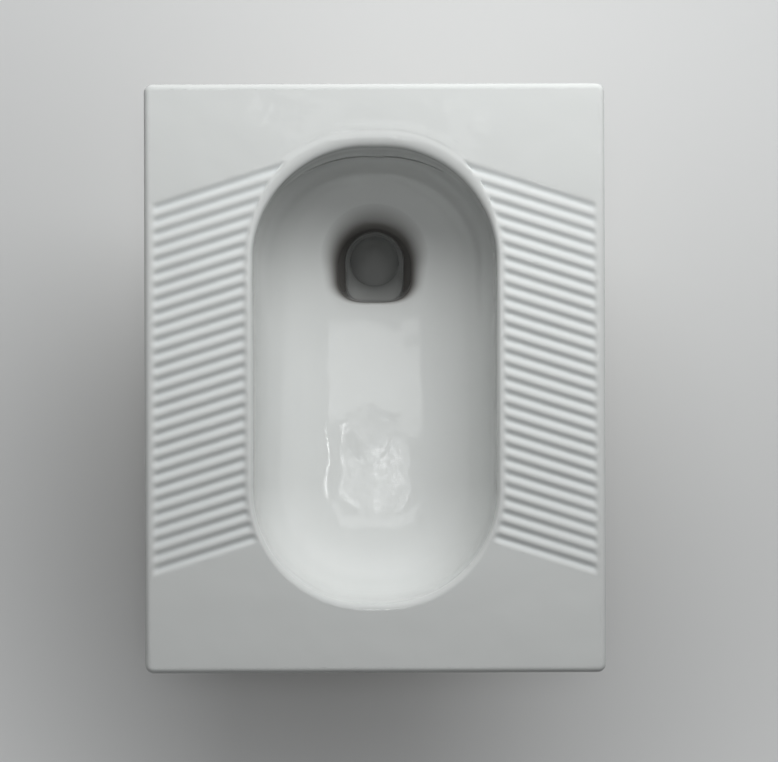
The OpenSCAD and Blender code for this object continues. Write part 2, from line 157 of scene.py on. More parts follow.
class TrapSizes(bpy.types.PropertyGroup):
    """Sizes of the trap, the inlet and the outlet"""

    chute_w: length("Chute width", "Width of the arched passage below the waste hole", 0.059)
    chute_depth: length("Chute depth", "Depth at which the passage has its arched form", 0.150)
    chute_inlet_y: length("Chute, inlet end", "Place of the crown of the arched passage", 0.1497)
    chute_foot_y: length("Chute, foot end", "Place of the foot end of the arched passage", 0.080)
    chute_power: ratio("Chute squareness", "Squareness of the passage's foot end", 4.5)
    bore_r: length("Bore radius", "Radius of the trap's bore", 0.026)
    wall: length("Wall", "Thickness of the trap's wall", 0.008)
    bead: length("Bead", "Height of the slip beads at the joints", 0.003)
    bead_reach: length("Bead reach", "Distance from a joint to the end of its bead", 0.009)
    spigot_wall: length("Spigot wall", "Thickness of the outlet spigot's wall", 0.008)
    spigot_h: length("Spigot height", "Height of the spigot's straight part", 0.046)
    spigot_flare: length("Spigot flare", "Height of the spigot's flare", 0.020)
    horn_wall: length("Horn wall", "Thickness of the inlet horn's wall", 0.008)
    pipe_r: length("Flush pipe", "Radius of the flush pipe", 0.016)
    fin: length("Seal fin", "Reach of the outlet seal's fins", 0.0045)


class Colours(bpy.types.PropertyGroup):
    """Colours of the finishes"""

    glaze: colour("Glaze", "Colour of the white glaze", (0.73, 0.74, 0.73))
    glaze_pool: colour("Pooled glaze", "Colour of the glaze where it lies thick", (0.76, 0.785, 0.785))
    # Painted shade: a near-black brown put into the glaze down the waste hole's eased edge and the throat,
    # and a little through the trap
    throat_painted_shade: colour("Deep glaze", "Colour of the glaze down in the throat", (0.165, 0.155, 0.147))
    glaze_thin: colour("Thin glaze", "Colour of the glaze sprayed thinly under the pan", (0.78, 0.77, 0.73))
    clay: colour("Bare clay", "Colour of the fired clay", (0.78, 0.75, 0.68))
    clay_dark: colour("Stained clay", "Colour of the clay's darker patches", (0.67, 0.63, 0.56))
    rubber: colour("Rubber", "Colour of the seals", (0.030, 0.030, 0.032))
    stage: colour("Stage", "Colour of the floor", (0.80, 0.80, 0.80))
    backdrop: colour("Backdrop", "Colour of the backdrop", (0.62, 0.63, 0.63))


class Pan(bpy.types.PropertyGroup):
    """Everything that a user would change"""

    deck: PointerProperty(type=DeckSizes)
    bowl: PointerProperty(type=BowlSizes)
    trap: PointerProperty(type=TrapSizes)
    colours: PointerProperty(type=Colours)


# ------------------------ small helpers


def smooth(low, high, value):
    """0 at low, 1 at high, the same beyond them, and an eased step between them."""
    share = min(1, max(0, (value - low) / (high - low)))
    return share * share * (3 - 2 * share)


def mix(a, b, share):
    return a + (b - a) * share


def at(point, z):
    return Vector((point.x, point.y, z))


def arc(centre, out, z, radius, first, last, steps, rise=None):
    """Points of an arc in the upright plane through out. Angles are in degrees, 0 outward and 90 up.

    Its height is the radius, or rise where that is given."""
    angles = [math.radians(mix(first, last, k / steps)) for k in range(steps + 1)]
    rise = radius if rise is None else rise
    return [at(centre + out * (radius * math.cos(a)), z + rise * math.sin(a)) for a in angles]


def between(start, stop, steps):
    """Points between start and stop, without the ends."""
    return [start.lerp(stop, k / steps) for k in range(1, steps)]


def curve(start, leave, arrive, stop, steps):
    """Points of a Bezier curve, without its start."""
    points = []
    for k in range(1, steps + 1):
        t = k / steps
        near = start * (1 - t) ** 3 + leave * (3 * t * (1 - t) ** 2)
        points.append(near + arrive * (3 * t * t * (1 - t)) + stop * t**3)
    return points


def soften(corners, steps=5):
    """Closed profile through corners of (distance, height, rounding), rounded off by short curves."""
    places = [Vector((r, h)) for r, h, _ in corners]
    profile = []
    for k, (_, _, reach) in enumerate(corners):
        here = places[k]
        before = here + (places[k - 1] - here).normalized() * reach
        after = here + (places[(k + 1) % len(places)] - here).normalized() * reach
        shares = [i / steps for i in range(steps + 1)] if reach else [0]
        profile += [before * (1 - t) ** 2 + here * (2 * t * (1 - t)) + after * t * t for t in shares]
    return profile


# ------------------------ finishes


class Value:
    """A socket of a finish, on which Python's operators add Math nodes."""

    def __init__(self, finish, socket):
        self.finish = finish
        self.socket = socket

    def maths(self, operation, *values):
        return self.finish.add("ShaderNodeMath", {"operation": operation}, dict(enumerate(values)))

    def __add__(self, other):
        return self.maths("ADD", self, other)

    def __radd__(self, other):
        return self.maths("ADD", other, self)

    def __mul__(self, other):
        return self.maths("MULTIPLY", self, other)

    def __rmul__(self, other):
        return self.maths("MULTIPLY", other, self)

    def step(self, low, high):
        """0 below low, 1 above high, and an eased step between them."""
        ends = {"Value": self, "From Min": low, "From Max": high}
        return self.finish.add("ShaderNodeMapRange", {"interpolation_type": "SMOOTHSTEP"}, ends)


class Nodes:
    """A node tree, and the one way in which nodes are added to it."""

    def __init__(self, tree):
        self.tree = tree

    def add(self, kind, settings, values, output=0):
        """Adds a node, gives it its settings, and then the values or links of its sockets."""
        node = self.tree.nodes.new(kind)
        for name, setting in settings.items():
            setattr(node, name, setting)
        for key, value in values.items():
            self.fill(node.inputs[key], value)
        return Value(self, node.outputs[output])

    def fill(self, socket, value):
        if isinstance(value, Value):
            self.tree.links.new(value.socket, socket)
        else:
            socket.default_value = value

    def blend(self, first, second, share):
        """Colour between two colours."""
        pair = [v if isinstance(v, Value) else (*v, 1.0) for v in (first, second)]
        return self.add("ShaderNodeMix", {"data_type": "RGBA"}, {0: share, 6: pair[0], 7: pair[1]}, 2)

    def seen(self):
        """1 for rays that show the stage, straight, mirrored or through something, and 0 for its light."""
        kinds = ("Is Camera Ray", "Is Glossy Ray", "Is Transmission Ray")
        camera, glossy, through = [self.add("ShaderNodeLightPath", {}, {}, kind) for kind in kinds]
        return camera + glossy + through


class Finish(Nodes):
    """A node-based material, made round one principled shader."""

    def __init__(self, name):
        self.material = bpy.data.materials.new(name)
        self.material.use_nodes = True
        super().__init__(self.material.node_tree)
        self.shader = self.tree.nodes["Principled BSDF"]
        self.place = self.add("ShaderNodeTexCoord", {}, {}, "Object")

    def noise(self, scale, detail=2.0, roughness=0.5, distortion=0.0, stretch=(1, 1, 1)):
        place = self.place
        if stretch != (1, 1, 1):
            place = self.add("ShaderNodeMapping", {}, {"Vector": self.place, "Scale": stretch})
        values = {"Vector": place, "Scale": scale, "Detail": detail}
        values.update({"Roughness": roughness, "Distortion": distortion})
        return self.add("ShaderNodeTexNoise", {}, values)

    def attribute(self, name):
        return self.add("ShaderNodeAttribute", {"attribute_name": name}, {}, "Fac")

    def bump(self, height, distance, strength=1.0, normal=None):
        values = {"Height": height, "Distance": distance, "Strength": strength}
        if normal:
            values["Normal"] = normal
        return self.add("ShaderNodeBump", {}, values)

    def set(self, **values):
        for name, value in values.items():
            self.fill(self.shader.inputs[name.replace("_", " ")], value)
        return self.material


def darker(tint, share):
    return tuple(c * share for c in tint)


def white_glaze(name, tints):
    """White glaze: clear and glossy over an orange-peel skin, with rare specks, pooled in hollows, and with
    painted shade down the waste hole and the trap.
    """
    glaze = Finish(name)
    cloud = glaze.noise(7.0, 3.0)
    pooled = glaze.attribute("hollow")
    fleck = glaze.noise(900.0, 1.0).step(0.76, 0.81)
    smear = glaze.noise(22.0, 4.0, 0.6, 0.6)
    skin = glaze.noise(95.0, 1.5, 0.4)
    wave = glaze.noise(26.0, 1.0, 0.3)
    tone = glaze.blend(tints.glaze, tints.glaze_pool, (cloud * 0.5 + pooled * 0.9).step(0.1, 1.2))
    # Painted shade: by the deep attribute the glaze turns near-black brown down the waste hole and through
    # the trap
    tone = glaze.blend(tone, tints.throat_painted_shade, glaze.attribute("deep"))
    return glaze.set(
        Base_Color=glaze.blend(tone, darker(tints.glaze, 0.82), fleck * 0.4),
        Roughness=0.05 + 0.07 * smear.step(0.45, 0.8),
        IOR=1.52,
        Normal=glaze.bump(skin, 0.00008, 1.0, glaze.bump(wave, 0.0008)),
    )


def thin_glaze(name, tints):
    """Glaze sprayed thinly under the pan: satin, with runs, and patches where the clay shows through."""
    glaze = Finish(name)
    runs = glaze.noise(9.0, 4.0, 0.55, 0.4, (3.0, 3.0, 0.5))
    patch = glaze.noise(11.0, 5.0, 0.6, 0.8)
    grain = glaze.noise(700.0, 2.0, 0.6)
    bare = (patch * 0.7 + runs * 0.5).step(0.62, 0.78)
    return glaze.set(
        Base_Color=glaze.blend(tints.glaze_thin, tints.clay, bare),
        Roughness=0.24 + 0.40 * bare + 0.10 * grain,
        IOR=1.50,
        Normal=glaze.bump(grain, 0.00012, 0.6, glaze.bump(runs, 0.0012, 0.8)),
    )


def bare_clay(name, tints):
    """Bare fired clay: matt, with sponge marks, fine grain, specks and darker patches."""
    clay = Finish(name)
    patch = clay.noise(14.0, 5.0, 0.6, 0.8)
    grain = clay.noise(1400.0, 2.0, 0.6)
    sponge = clay.noise(60.0, 4.0, 0.6, 1.2)
    speck = clay.noise(520.0, 1.0).step(0.70, 0.78)
    tone = clay.blend(tints.clay, tints.clay_dark, patch.step(0.42, 0.8))
    return clay.set(
        Base_Color=clay.blend(tone, darker(tints.clay_dark, 0.55), speck * 0.5),
        Roughness=0.80 + 0.15 * grain,
        Normal=clay.bump(grain, 0.00025, 0.7, clay.bump(sponge, 0.0010, 0.8)),
    )


def black_rubber(name, tints):
    """Moulded black rubber with a dusty bloom."""
    rubber = Finish(name)
    bloom = rubber.noise(40.0, 5.0, 0.65, 0.4)
    grain = rubber.noise(900.0, 2.0)
    dusty = tuple(c * 3 + 0.02 for c in tints.rubber)
    return rubber.set(
        Base_Color=rubber.blend(tints.rubber, dusty, bloom.step(0.45, 0.85)),
        Roughness=0.46 + 0.25 * bloom,
        Normal=rubber.bump(grain, 0.00012, 0.8),
    )


def pale_stage(name, tints):
    """Plain pale floor. Far from the pan the camera sees it as pale as the backdrop."""
    stage = Finish(name)
    shade = stage.noise(1.5, 2.0)
    away = stage.add("ShaderNodeVectorMath", {"operation": "LENGTH"}, {0: stage.place}, "Value")
    pale = stage.add("ShaderNodeEmission", {}, {"Color": (*tints.backdrop, 1)})
    near = Value(stage, stage.shader.outputs["BSDF"])
    share = away.step(0.2, 1.1) * stage.seen()
    both = stage.add("ShaderNodeMixShader", {}, {0: share, 1: near, 2: pale})
    stage.fill(stage.tree.nodes["Material Output"].inputs["Surface"], both)
    return stage.set(Base_Color=stage.blend(tints.stage, darker(tints.stage, 0.97), shade), Roughness=0.9)


def finish(make):
    """The material that make makes, made the first time that it is asked for."""
    return bpy.data.materials.get(make.__name__) or make(make.__name__, bpy.context.scene.pan.colours)


# ------------------------ meshes

# Faces that meet at more than this angle have a sharp edge between them
SHARP_ANGLE = math.radians(38)
LATHE_STEPS = 96


def ring_edges(bm, ring):
    return [bm.edges.get((a, b)) for a, b in zip(ring, ring[1:] + ring[:1])]


def loft(paths, outside_from=None, capped=False):
    """Skin through paths, one for each place round a ring. Each path's points join to rings.

    The last ring joins the first, or both are capped. Faces from the ring outside_from on take the
    outside's finish. A point's row is the number of its ring, and a face's level that of its last one."""
    bm = bmesh.new()
    level = bm.faces.layers.int.new("level")
    row = bm.verts.layers.int.new("row")
    ring = bmesh.ops.create_circle(bm, segments=len(paths), radius=1)["verts"]
    first = ring
    for vert, path in zip(ring, paths):
        vert.co = path[0]
    for step in range(1, len(paths[0])):
        grown = bmesh.ops.extrude_edge_only(bm, edges=ring_edges(bm, ring))["geom"]
        fresh = {e for e in grown if isinstance(e, bmesh.types.BMVert)}
        ring = [next(v for v in (e.other_vert(old) for e in old.link_edges) if v in fresh) for old in ring]
        for vert, path in zip(ring, paths):
            vert.co = path[step]
            vert[row] = step
        for face in grown:
            if isinstance(face, bmesh.types.BMFace):
                face[level] = step
                face.material_index = INSIDE if outside_from is None or step <= outside_from else OUTSIDE
    if capped:
        ends = [bm.faces.new(first), bm.faces.new(ring)]
    else:
        ends = bmesh.ops.bridge_loops(bm, edges=ring_edges(bm, ring) + ring_edges(bm, first))["faces"]
    for face in ends:
        face.material_index = INSIDE if outside_from is None else OUTSIDE
    return bm


def lathe(profile, axis, centre):
    """Closed ring: a profile of (distance from the axis, place along it) spun once round the axis."""
    bm = bmesh.new()
    side = Vector((1, 0, 0))
    verts = [bm.verts.new(centre + side * p.x + axis * p.y) for p in profile]
    edges = [bm.edges.new((a, b)) for a, b in zip(verts, verts[1:] + verts[:1])]
    full = {"angle": math.tau, "steps": LATHE_STEPS, "use_merge": True}
    bmesh.ops.spin(bm, geom=verts + edges, cent=centre, axis=axis, **full)
    bmesh.ops.remove_doubles(bm, verts=bm.verts, dist=1e-6)
    return bm


def plate(bm, outline, thickness, bevel):
    """Adds an upright plate through an outline of points, grown both ways across it, with round edges."""
    across = (outline[1] - outline[0]).cross(outline[2] - outline[1]).normalized()
    face = bm.faces.new([bm.verts.new(p - across * (thickness / 2)) for p in outline])
    grown = bmesh.ops.extrude_face_region(bm, geom=[face], use_keep_orig=True)["geom"]
    far = [v for v in grown if isinstance(v, bmesh.types.BMVert)]
    bmesh.ops.translate(bm, verts=far, vec=across * thickness)
    edges = {e for v in far + list(face.verts) for e in v.link_edges}
    bmesh.ops.bevel(
        bm, geom=list(edges), offset=bevel, affect="EDGES", segments=3, profile=0.5, material=-1
    )


def mark_painted_shade(bm, amount):
    """Stores how much painted shade darkens the glaze on each ring."""
    row = bm.verts.layers.int["row"]
    deep = bm.verts.layers.float.new("deep")
    for vert in bm.verts:
        vert[deep] = amount(vert[row])


def piece(name, bm, finishes, slot, *nodes):
    """Turns a bmesh into a piece that rides on the pan and stands for CAD nodes."""
    bmesh.ops.recalc_face_normals(bm, faces=bm.faces)
    mesh = bpy.data.meshes.new(name)
    bm.to_mesh(mesh)
    bm.free()
    mesh.shade_smooth()
    mesh.set_sharp_from_angle(angle=SHARP_ANGLE)
    for make in finishes:
        mesh.materials.append(finish(make))
    made = bpy.data.objects.new(name, mesh)
    bpy.context.scene.collection.objects.link(made)
    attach(made, "root")
    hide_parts(*nodes)


# ------------------------ rays round the opening

# Degrees from ray to ray round the opening's corners, and less where the rays meet the deck's corners
RAY_TURN = 1.5
CLOSE_TURN = 0.45
# The first of the close rays, how many there are, and how many degrees other rays stay from them
CLOSE_FROM = 36.4
CLOSE_COUNT = 12
CLOSE_GAP = 0.6
# Distance from ray to ray along the opening's straight stretches
RAY_STEP = 0.004
# How far a ray's place on the waste hole goes by its share of the way round
EVEN_SHARE = 0.3


def corner_angles():
    """Angles of the rays in a quarter of the opening, from its side to its end, in degrees."""
    close = [CLOSE_FROM + CLOSE_TURN * k for k in range(CLOSE_COUNT)]
    wide = [RAY_TURN * k for k in range(round(90 / RAY_TURN) + 1)]
    return sorted([a for a in wide if not close[0] - CLOSE_GAP < a < close[-1] + CLOSE_GAP] + close)


def opening_rays(pan):
    """Rays outward from the opening's outline, anticlockwise from the end of its right side."""
    deck = pan.deck
    middle = Vector((deck.opening_w / 2 - deck.opening_r, deck.opening_l / 2 - deck.opening_r))
    quarter = corner_angles()
    places = []
    for turn in range(4):
        corner = Vector((middle.x if turn in (0, 3) else -middle.x, middle.y if turn < 2 else -middle.y))
        corner.y += deck.opening_shift
        for step in quarter if turn % 2 == 0 else [90 - a for a in reversed(quarter)]:
            a = math.radians(90 * turn + step)
            out = Vector((math.cos(a), math.sin(a)))
            places.append((corner + out * deck.opening_r, out))
        out = Vector((round(math.cos(a)), round(math.sin(a))))
        along = Vector((-out.y, out.x))
        span = 2 * (middle.y if turn % 2 else middle.x)
        steps = max(4, round(span / RAY_STEP))
        start = places[-1][0]
        places += [(start + along * (span * k / steps), out) for k in range(1, steps)]
    return [Ray(point, out, a) for (point, out), a in zip(places, hole_angles(pan, places))]


def hole_angles(pan, places):
    """For each place on the opening, the angle of its partner on the waste hole, in radians.

    It lies between the angle that faces the place, and the one by its share of the way round."""
    deck, bowl = pan.deck, pan.bowl
    facing = []
    for point, _ in places:
        a = math.atan2((point.y - bowl.hole_y) / bowl.hole_l, point.x / bowl.hole_w)
        facing.append(a + math.tau if facing and a < facing[-1] - 1e-9 else a)
    steps = [(b[0] - a[0]).length for a, b in zip(places, places[1:] + places[:1])]
    to_inlet_end = math.pi / 2 * deck.opening_r + deck.opening_w / 2 - deck.opening_r
    share = math.tau / sum(steps)
    even = [math.pi / 2 + share * (sum(steps[:k]) - to_inlet_end) for k in range(len(places))]
    return [mix(f, e, EVEN_SHARE) for f, e in zip(facing, even)]


def meet_rectangle(ray, half_w, half_l, r):
    """Where a ray meets a rounded rectangle, and the rectangle's outward direction there."""
    sign = Vector((math.copysign(1, ray.point.x), math.copysign(1, ray.point.y)))
    o = Vector((abs(ray.point.x), abs(ray.point.y)))
    d = Vector((abs(ray.out.x), abs(ray.out.y)))
    side = o + d * ((half_w - o.x) / d.x) if d.x > 1e-6 else None
    end = o + d * ((half_l - o.y) / d.y) if d.y > 1e-6 else None
    if side and side.y <= half_l - r:
        hit, out = side, Vector((1, 0))
    elif end and end.x <= half_w - r:
        hit, out = end, Vector((0, 1))
    else:
        centre = Vector((half_w - r, half_l - r))
        b = d.dot(o - centre)
        hit = o + d * (math.sqrt(b * b - (o - centre).length_squared + r * r) - b)
        out = (hit - centre) / r
    return Vector((hit.x * sign.x, hit.y * sign.y)), Vector((out.x * sign.x, out.y * sign.y))


# ------------------------ deck

RIM_STEPS = 12
DECK_STEPS = 60
EDGE_STEPS = 8
SKIRT_STEPS = 4
# Number of the deck's last ring on the glazed side, after the collar, rim, top, edge and skirt
LAST_GLAZED_RING = 3 + RIM_STEPS + DECK_STEPS + EDGE_STEPS + SKIRT_STEPS
# How far below the rim the collar is cut back, and how deep, as a share of the lip's reach
CREASE_DROP = 0.0025
CREASE = 0.6
# Where the swell round the rim is highest and where it ends, as distances from the rim's roll
SWELL_CREST = 0.003
SWELL_END = 0.012
# Edges of the deck's top longer than LONG_EDGE are cut for the treads. They lie further from the middle
# than TREAD_FROM_X, and TREAD_SLANT is what the slant of the grooves may add to a tread at each end
LONG_EDGE = 0.002
TREAD_FROM_X = 0.09
TREAD_SLANT = 0.045


def rim_distance(deck, x, y):
    """Distance outward from the opening's outline. It is negative inside the opening."""
    dx = max(abs(x) - deck.opening_w / 2 + deck.opening_r, 0)
    dy = max(abs(y - deck.opening_shift) - deck.opening_l / 2 + deck.opening_r, 0)
    return math.hypot(dx, dy) - deck.opening_r


def tread_share(deck, x, y):
    """How deep the tread is at a place on the deck, as a share of a groove's depth."""
    rise = (deck.tip_x - abs(x)) * math.tan(deck.groove_angle)
    turns = (y - deck.first_y - rise) / deck.groove_pitch
    if not -0.5 < turns < deck.groove_count - 0.5:
        return 0
    trough = (0.5 + 0.5 * math.cos(math.tau * turns)) ** 1.1
    inner = smooth(0, deck.groove_fade, rim_distance(deck, x, y) - deck.tread_gap)
    outer = smooth(0, deck.groove_fade, deck.tread_edge - abs(x))
    return trough * inner * outer


def deck_path(pan, ray):
    """Section of the deck on a ray: up the collar, over the rim, out, down the skirt and back below."""
    deck = pan.deck
    end_roll = deck.inlet_roll if ray.out.y > 0 else deck.foot_roll
    roll = mix(deck.side_roll, end_roll, smooth(0.1, 0.95, abs(ray.out.y)))
    roll_z = TOP_Z - deck.rim_drop
    lean = at(ray.out, 0) * lip_reach(pan, ray)
    edge, edge_out = meet_rectangle(ray, DECK_HIGH.x, DECK_HIGH.y, deck.corner_r)
    inner_x, inner_y = DECK_HIGH.x - deck.skirt_t, DECK_HIGH.y - deck.skirt_t
    inner, inner_out = meet_rectangle(ray, inner_x, inner_y, deck.skirt_in_r)
    collar = ray.point + ray.out * deck.collar_t
    under_z = TOP_Z - deck.slab_t - deck.fillet
    skirt_z = DECK_LOW.z + deck.skirt_round
    path = [at(ray.point, RIM_SEAM_Z) - lean * LIP_AT_SEAM]
    path += [at(ray.point, mix(RIM_SEAM_Z, roll_z, 0.5)) - lean * LIP_AT_SEAM / 3]
    path += [at(ray.point, roll_z - CREASE_DROP) + lean * CREASE]
    path += arc(ray.point + ray.out * roll, ray.out, roll_z, roll, 180, 90, RIM_STEPS, deck.rim_drop)
    edge_roll = deck.edge_roll
    outer = arc(edge - edge_out * edge_roll, edge_out, TOP_Z - edge_roll, edge_roll, 90, 0, EDGE_STEPS)
    flat = between(path[-1], outer[0], DECK_STEPS)
    swell = deck.swell * smooth(0.5, 0.9, ray.out.y)
    for point in flat:
        off = (point.to_2d() - ray.point).length - roll
        point.z += swell * smooth(0, SWELL_CREST, off) * smooth(SWELL_END, SWELL_CREST, off)
    path += flat + outer
    foot = arc(edge - edge_out * deck.skirt_round, edge_out, skirt_z, deck.skirt_round, 0, -90, 4)
    foot += arc(inner + inner_out * deck.skirt_round, inner_out, skirt_z, deck.skirt_round, -90, -180, 4)
    path += between(path[-1], foot[0], SKIRT_STEPS) + foot
    skirt_fillet = arc(inner - inner_out * deck.fillet, inner_out, under_z, deck.fillet, 0, 90, 4)
    path += between(path[-1], skirt_fillet[0], 3) + skirt_fillet
    collar_fillet = arc(collar + ray.out * deck.fillet, ray.out, under_z, deck.fillet, 90, 180, 4)
    path += between(path[-1], collar_fillet[0], 8) + collar_fillet
    return path + [at(collar, RIM_SEAM_Z)]


def press_treads(bm, deck):
    """Presses the grooves of both foot treads into the flat of the deck."""
    row = bm.verts.layers.int["row"]
    reach = deck.groove_count * deck.groove_pitch / 2 + TREAD_SLANT
    flat = TOP_Z - 1e-6
    cut = []
    for edge in bm.edges:
        a, b = edge.verts
        if a[row] == b[row] and min(a.co.z, b.co.z) > flat and edge.calc_length() > LONG_EDGE:
            if max(abs(a.co.x), abs(b.co.x)) > TREAD_FROM_X and abs(a.co.y) < reach:
                cut.append(edge)
    bmesh.ops.subdivide_edges(bm, edges=cut, cuts=2)
    hollow = bm.verts.layers.float.new("hollow")
    for vert in bm.verts:
        if vert.co.z > flat:
            vert[hollow] = tread_share(deck, vert.co.x, vert.co.y)
            vert.co.z -= vert[hollow] * deck.groove_depth


class PAN_OT_deck(bpy.types.Operator):
    """Glazed deck with its rolled edge, skirt, rim and foot treads"""

    bl_idname = "pan.deck"
    bl_label = "Deck"

    def execute(self, context):
        pan = context.scene.pan
        bm = loft([deck_path(pan, ray) for ray in opening_rays(pan)], LAST_GLAZED_RING)
        press_treads(bm, pan.deck)
        piece("glazed_deck", bm, [white_glaze, bare_clay], "glaze", "deck")
        return {"FINISHED"}


class PAN_OT_deck_webs(bpy.types.Operator):
    """Webs under the deck, from the collar to the skirt"""

    bl_idname = "pan.deck_webs"
    bl_label = "Deck webs"

    def execute(self, context):
        deck = context.scene.pan.deck
        half = deck.opening_l / 2 - deck.opening_r
        step = 2 * half / deck.web_count
        inner = deck.opening_w / 2 + deck.collar_t / 2
        foot = inner + deck.collar_t / 2
        outer = DECK_HIGH.x - deck.skirt_t / 2
        top = TOP_Z - deck.slab_t / 2
        bm = bmesh.new()
        for side in (-1, 1):
            for k in range(deck.web_count):
                y = deck.opening_shift - half + step * (k + 0.5)
                section = [
                    (inner, top),
                    (inner, RIM_SEAM_Z + 0.001),
                    (foot, RIM_SEAM_Z + 0.001),
                    (outer, DECK_LOW.z + 0.004),
                    (outer, top),
                ]
                plate(bm, [Vector((side * x, y, z)) for x, z in section], deck.web_t, 0.002)
        piece("deck_webs", bm, [bare_clay], "glaze", "deck")
        return {"FINISHED"}


# ------------------------ bowl

LIP_AT_SEAM = 0.30
# The lip from the seam down: how far down it a ring lies, and its share of the lip's reach
LIP_ROWS = (
    ((0.0, LIP_AT_SEAM), (0.15, 0.36), (0.30, 0.45), (0.45, 0.56), (0.60, 0.70), (0.74, 0.84))
    + ((0.86, 0.95), (0.93, 1.0), (0.97, 0.94), (0.993, 0.74), (1.0, 0.45), (1.0, 0.0))
)
# Shares of the slot's height, and shares of the bowl's depth inside and outside, at which rings lie
SLOT_ROWS = (0.0, 0.35, 0.65, 1.0)
WALL_FALLS = (0.42, 0.48, 0.54, 0.60, 0.66, 0.72, 0.78)
OUTER_FALLS = (0.70, 0.62, 0.54, 0.46)
OUTER_EASE = 0.009
OUTER_EASE_TILT = 0.002
MORPH_STEPS = 44
MORPH_POWER = 1.35
OUTER_MORPH_STEPS = 14
EASE_STEPS = 10
THROAT_STEPS = 6


def floor_at(pan, y):
    """Depth of the bowl's floor, which falls evenly to the waste hole."""
    foot_y = pan.deck.opening_shift - pan.deck.opening_l / 2
    hole_foot_y = pan.bowl.hole_y - pan.bowl.hole_l / 2
    return pan.bowl.floor_depth + pan.bowl.floor_fall * (y - hole_foot_y) / (hole_foot_y - foot_y)


def wall_point(pan, ray, fall, grow):
    """Point of the bowl's wall on a ray, at a share of the bowl's depth. grow is the wall's thickness."""
    power = pan.bowl.power
    cosine = math.sqrt(max(0, 1 - fall**power))
    inset = -grow + (pan.bowl.sweep + grow) * (1 - cosine ** (2 / power))
    p = ray.point - ray.out * inset
    return at(p, RIM_SEAM_Z - fall * (floor_at(pan, p.y) + grow - COLLAR_DEPTH))


def bowl_point(pan, p, grow):
    """Point of the bowl's surface above or below a place in plan."""
    inset = -rim_distance(pan.deck, p.x, p.y)
    rest = max(0, 1 - (inset + grow) / (pan.bowl.sweep + grow))
    fall = (1 - rest**pan.bowl.power) ** (1 / pan.bowl.power)
    return at(p, RIM_SEAM_Z - fall * (floor_at(pan, p.y) + grow - COLLAR_DEPTH))


def hole_point(bowl, turn, grow, tilt=0):
    """Point of the waste hole's outline: round towards the inlet end, squarer towards the foot end."""
    c, s = math.cos(turn), math.sin(turn)
    power = mix(1, 2 / bowl.hole_power, smooth(0, 0.35, -s))
    x = math.copysign(abs(c) ** power, c) * (bowl.hole_w / 2 + grow + tilt * s)
    y = math.copysign(abs(s) ** power, s) * (bowl.hole_l / 2 + grow + tilt * s)
    return Vector((x, bowl.hole_y + y))


def chute_point(trap, turn):
    """Point of the arched passage's outline: round towards the inlet end, square towards the foot end."""
    c, s = math.cos(turn), math.sin(turn)
    half = trap.chute_w / 2
    middle_y = trap.chute_inlet_y - half
    power = mix(1, 2 / trap.chute_power, smooth(0, 0.35, -s))
    span = half if s > 0 else middle_y - trap.chute_foot_y
    x = math.copysign(abs(c) ** power * half, c)
    y = math.copysign(abs(s) ** power * span, s)
    return Vector((x, middle_y + y))


def throat_point(pan, turn, z, grow):
    """Point of the throat, where it turns from the hole's outline into the round bore.

    Its inside narrows to the arched passage on the way."""
    depth = TOP_Z - z
    bore_depth = TOP_Z - BEND_SEAM_Z
    r = pan.trap.bore_r + grow
    bore = Vector((r * math.cos(turn), BORE_Y + r * math.sin(turn)))
    hole = hole_point(pan.bowl, turn, grow)
    if grow:
        return at(hole.lerp(bore, smooth(pan.bowl.floor_depth + 0.02, bore_depth, depth)), z)
    chute = hole.lerp(chute_point(pan.trap, turn), smooth(pan.bowl.floor_depth, pan.trap.chute_depth, depth))
    return at(chute.lerp(bore, smooth(pan.trap.chute_depth, bore_depth, depth)), z)


def slot_falls(pan, ray, grow):
    """Shares of the bowl's depth of the flush slot's top and bottom, which rise towards its ends."""
    deep = floor_at(pan, ray.point.y) + grow - COLLAR_DEPTH
    off = min(1, abs(ray.point.x) / (pan.bowl.slot_w / 2))
    top = pan.bowl.slot_depth - COLLAR_DEPTH - pan.bowl.slot_rise * off**2.5
    return top / deep, (top + pan.bowl.slot_h) / deep


def lip_reach(pan, ray):
    """How far the lip over the slot stands off the wall on a ray."""
    if ray.out.y <= 0:
        return 0
    half = pan.bowl.lip_w / 2
    return pan.bowl.lip_reach * smooth(half + pan.bowl.lip_fade, half, abs(ray.point.x))


def wall_rows(pan, ray):
    """Inner wall of the bowl from its top, over the lip and past the slot, to where it starts to turn."""
    top, bottom = slot_falls(pan, ray, 0)
    reach = lip_reach(pan, ray)
    rows = []
    for share, push in LIP_ROWS:
        rows.append(wall_point(pan, ray, top * share, 0) - at(ray.out, 0) * (reach * push))
    rows += [wall_point(pan, ray, mix(top * 1.02, bottom, share), 0) for share in SLOT_ROWS]
    rows.append(wall_point(pan, ray, mix(bottom, WALL_FALLS[0], 0.4), 0))
    return rows + [wall_point(pan, ray, fall, 0) for fall in WALL_FALLS]


def ease(pan, ray, grow, reach, tilt):
    """Where the bowl's surface ends at the hole, its slope there, and how far below the throat takes over.

    reach and tilt are those of the hole's eased edge, and the place is given in plan and as a point."""
    mouth = hole_point(pan.bowl, ray.hole_angle, grow + reach, tilt)
    edge = bowl_point(pan, mouth, grow)
    inward = hole_point(pan.bowl, ray.hole_angle, grow) - mouth
    slope = (bowl_point(pan, mouth + inward * 0.05, grow) - edge).normalized()
    drop = inward.length * 1.1 + 0.001
    return mouth, edge, slope, drop


